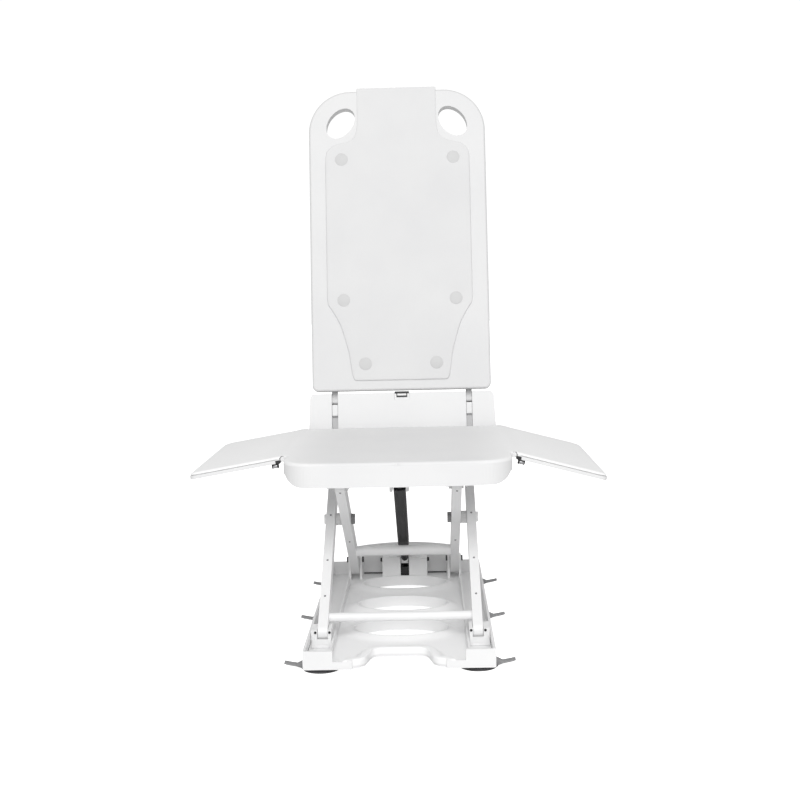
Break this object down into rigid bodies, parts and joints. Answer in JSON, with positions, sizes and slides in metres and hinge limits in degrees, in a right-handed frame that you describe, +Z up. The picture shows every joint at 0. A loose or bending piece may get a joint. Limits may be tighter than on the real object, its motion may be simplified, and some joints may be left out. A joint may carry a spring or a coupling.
{
  "type": "bath lift",
  "caption": "Scissor bath lift: seat with drooping side flaps and a tall folding backrest, raised from a suction-cup base tray by a central drive column.",
  "frame": {"origin": "middle of the bounding box at the bath floor, under the suction cups", "axes": "+X to the right in a view of the front, -Y towards the front edge of the seat, +Z up"},
  "size_m": [0.7136, 0.745, 0.9932],
  "materials": {
    "white_shell": "satin white moulded plastic",
    "pad": "soft matt light grey foam sheet",
    "cover": "soft matt white foam sheet",
    "stud": "matt light grey plastic",
    "white_leg": "white powder coat on aluminium",
    "grey_plastic": "matt grey plastic",
    "dark_plastic": "matt black plastic",
    "steel": "brushed stainless steel",
    "dark_steel": "dark oxide steel",
    "black_column": "black anodised aluminium",
    "brass": "plain brass",
    "cup_rubber": "matt dark grey rubber"
  },
  "bodies": {
    "base": {"base_tray": "white_shell", "suction_cups": "cup_rubber", "rear_pivot_brackets": "white_shell", "rear_pivot_pins": "steel", "bracket_bolts": "dark_steel", "drive_foot_blocks": "white_shell", "drive_foot_pin": "steel"},
    "inner_legs": {"inner_leg_left": "white_leg", "inner_leg_right": "white_leg", "rear_cross_tube": "white_leg", "middle_bolts": "dark_steel", "middle_spacers": "grey_plastic", "middle_nuts": "dark_steel"},
    "outer_legs": {"outer_leg_left": "white_leg", "outer_leg_right": "white_leg", "front_cross_tube": "white_leg"},
    "front_sliders": {"front_slider_left": "grey_plastic", "front_slider_right": "grey_plastic", "front_slider_pins": "steel"},
    "seat": {"seat_shell": "white_shell", "seat_pad": "pad", "seat_rail_left": "steel", "seat_rail_right": "steel", "rear_seat_brackets": "steel", "rear_seat_pins": "steel", "recline_ears": "white_shell", "recline_pins": "steel", "drive_lug": "steel", "control_socket": "dark_plastic", "flap_hinge_pins": "steel"},
    "seat_sliders": {"seat_slider_shoes": "dark_plastic", "seat_slider_pins": "steel"},
    "left_flap": {"left_flap": "white_shell", "left_flap_pad": "pad", "left_hinge_clips": "dark_plastic"},
    "right_flap": {"right_flap": "white_shell", "right_flap_pad": "pad", "right_hinge_clips": "dark_plastic"},
    "lower_back": {"lower_back_plate": "white_shell", "hinge_bars": "steel", "hinge_bar_bolts": "steel", "fold_pins": "steel"},
    "upper_back": {"backrest_panel": "white_shell", "backrest_cover": "cover", "cover_studs": "stud"},
    "latch": {"fold_latch": "dark_plastic"},
    "push_rod": {"push_rod": "steel", "screw_nut": "brass"},
    "column": {"column_tube": "black_column", "guide_bush": "dark_plastic", "drive_motor": "steel", "lead_screw": "steel", "column_eye": "black_column", "column_pin": "steel"}
  },
  "joints": [
    {"name": "lift", "type": "hinge", "parent": "base", "child": "inner_legs", "pos_m": [0, 0.17349, 0.0335], "axis": [-1, 0, 0], "range_deg": [-28.1, 16.9]},
    {"name": "outer_leg_turn", "type": "hinge", "parent": "inner_legs", "child": "outer_legs", "pos_m": [0, -0.04348, 0.17494], "axis": [-1, 0, 0], "range_deg": [-33.8, 56.2]},
    {"name": "front_slider_turn", "type": "hinge", "parent": "outer_legs", "child": "front_sliders", "pos_m": [0, -0.26045, 0.0335], "axis": [-1, 0, 0], "range_deg": [-28.1, 16.9]},
    {"name": "seat_level", "type": "hinge", "parent": "outer_legs", "child": "seat", "pos_m": [0, 0.08637, 0.25959], "axis": [-1, 0, 0], "range_deg": [-28.1, 16.9]},
    {"name": "seat_slider_turn", "type": "hinge", "parent": "inner_legs", "child": "seat_sliders", "pos_m": [0, -0.17333, 0.25959], "axis": [-1, 0, 0], "range_deg": [-16.9, 28.1]},
    {"name": "push_rod_turn", "type": "hinge", "parent": "base", "child": "push_rod", "pos_m": [0, 0.17349, 0.047], "axis": [-1, 0, 0], "range_deg": [-27.15, 16.33]},
    {"name": "column_extend", "type": "slide", "parent": "push_rod", "child": "column", "axis": [0, -0.8192, 0.5735], "range_m": [-0.06933, 0.0417]},
    {"name": "left_flap_hinge", "type": "hinge", "parent": "seat", "child": "left_flap", "pos_m": [-0.1955, 0, 0.30099], "axis": [0, 1, 0], "range_deg": [0, 89.5]},
    {"name": "right_flap_hinge", "type": "hinge", "parent": "seat", "child": "right_flap", "pos_m": [0.1955, 0, 0.30099], "axis": [0, -1, 0], "range_deg": [0, 95]},
    {"name": "recline", "type": "hinge", "parent": "seat", "child": "lower_back", "pos_m": [0, 0.23752, 0.28646], "axis": [-1, 0, 0], "range_deg": [0, 40]},
    {"name": "backrest_fold", "type": "hinge", "parent": "lower_back", "child": "upper_back", "pos_m": [0, 0.24985, 0.35638], "axis": [1, 0, 0], "range_deg": [0, 95]},
    {"name": "latch_press", "type": "slide", "parent": "lower_back", "child": "latch", "axis": [0, -0.1736, -0.9848], "range_m": [0, 0.004], "stiffness_N_per_m": 600, "springref_m": -0.004}
  ],
  "couplings": [
    {"joint": "outer_leg_turn", "follows": "lift", "ratio": -2},
    {"joint": "front_slider_turn", "follows": "lift", "ratio": 1},
    {"joint": "seat_level", "follows": "lift", "ratio": 1},
    {"joint": "seat_slider_turn", "follows": "lift", "ratio": -1},
    {"joint": "push_rod_turn", "follows": "lift", "ratio": 0.9663},
    {"joint": "column_extend", "follows": "lift", "m_per_rad": 0.14137}
  ]
}
